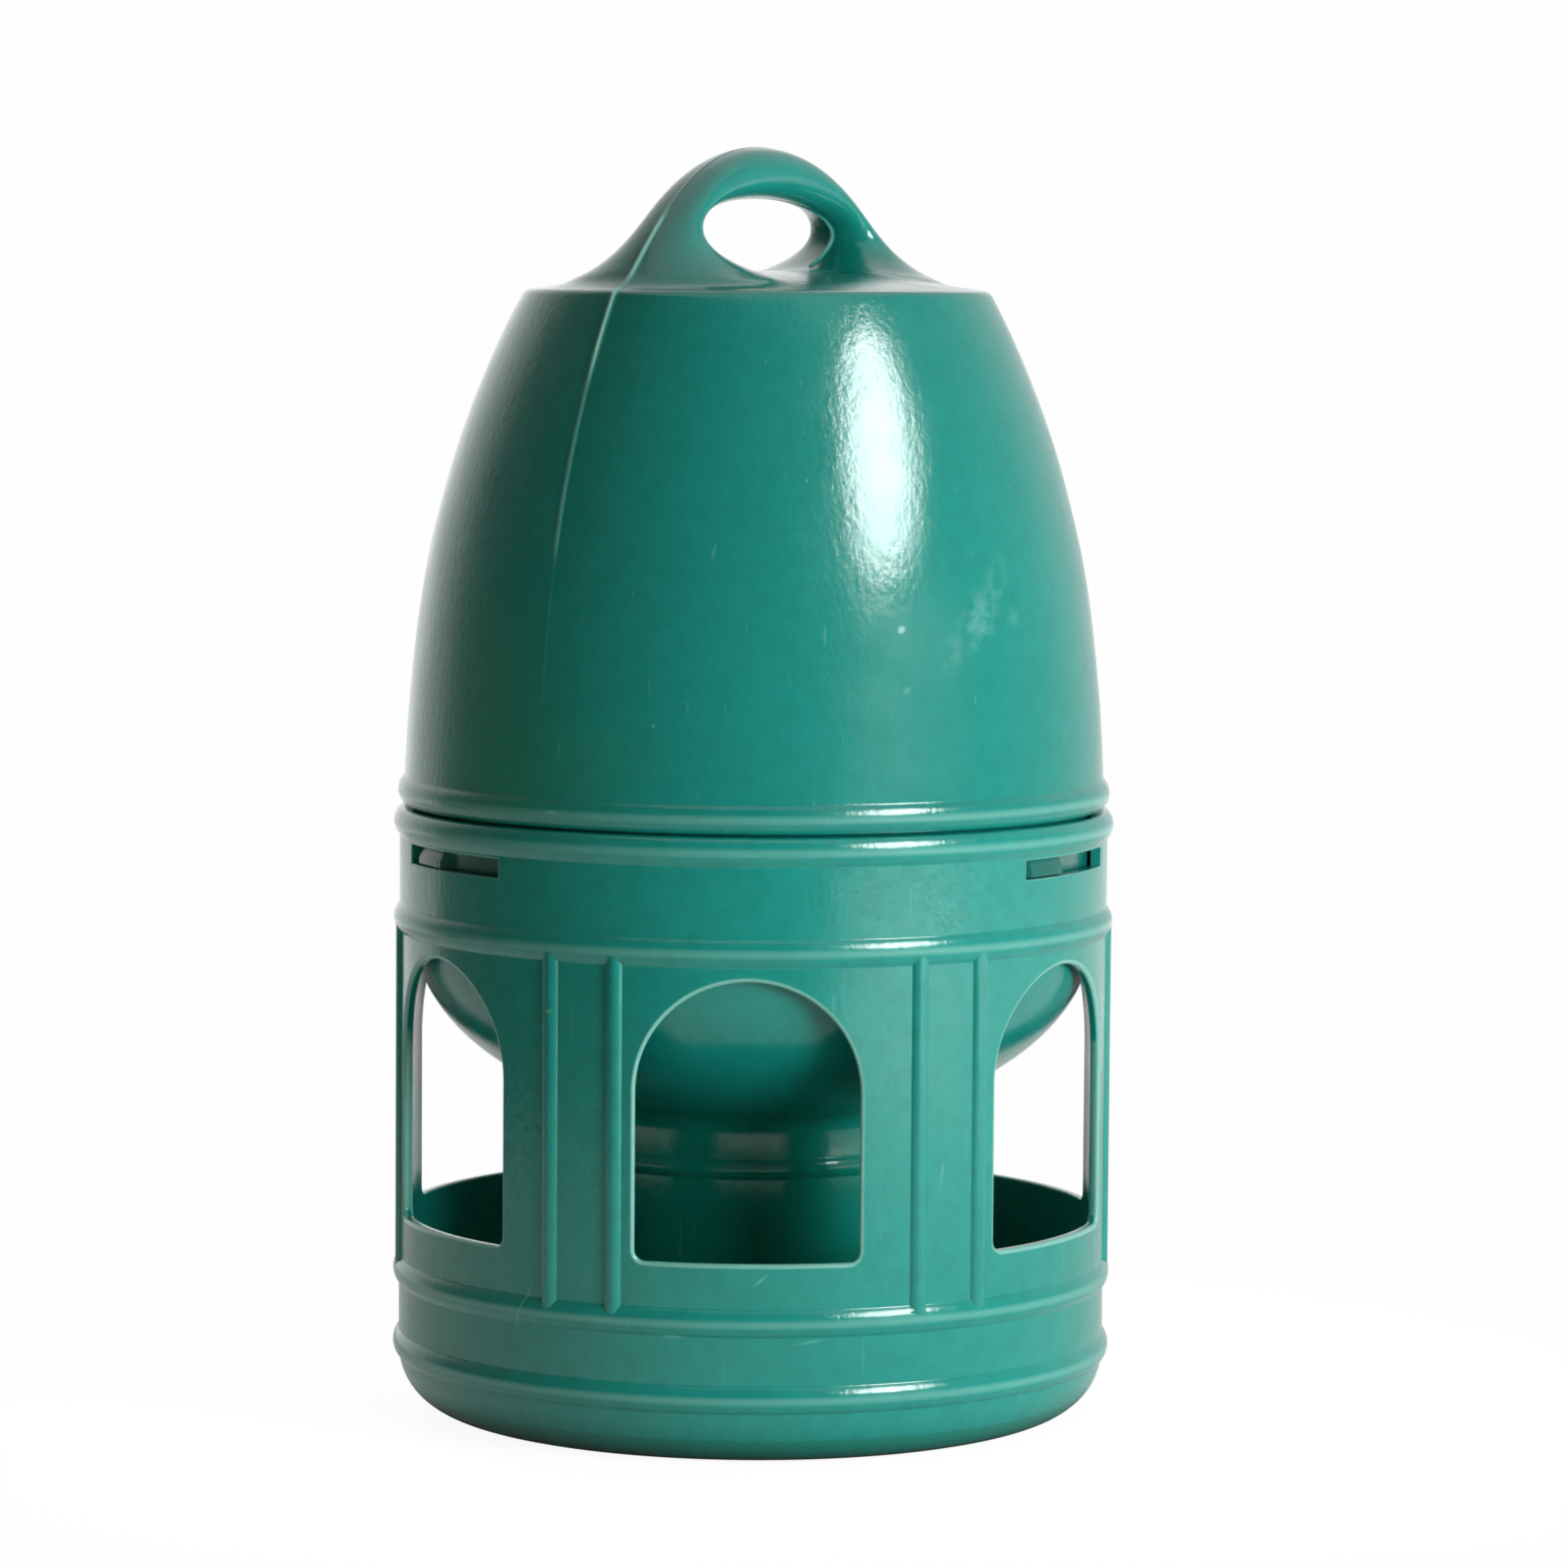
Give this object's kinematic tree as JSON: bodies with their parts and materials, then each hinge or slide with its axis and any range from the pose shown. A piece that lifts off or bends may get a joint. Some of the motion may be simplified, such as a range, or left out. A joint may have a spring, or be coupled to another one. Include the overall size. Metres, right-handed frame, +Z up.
{
  "type": "gravity poultry drinker",
  "caption": "Plastic bird drinker: a domed water reservoir with a loop handle stands neck down in a round base with arched drinking windows, held by twist-lock lugs.",
  "frame": {"origin": "on the ground under the middle of the base", "axes": "+Z up along the object's axis; -Y out through the front window, towards the picture's camera"},
  "size_m": [0.1626, 0.1626, 0.285],
  "materials": {
    "base_plastic": "glossy moulded polythene, teal green",
    "reservoir_plastic": "glossy moulded polythene, teal green, with fine scuffs"
  },
  "bodies": {
    "base": {"drinking_base": "base_plastic"},
    "bottle": {"reservoir": "reservoir_plastic"}
  },
  "joints": [
    {"name": "bayonet_twist", "type": "hinge", "parent": "base", "child": "bottle", "pos_m": [0, 0, 0.137], "axis": [0, 0, 1], "range_deg": [0, 14]}
  ]
}
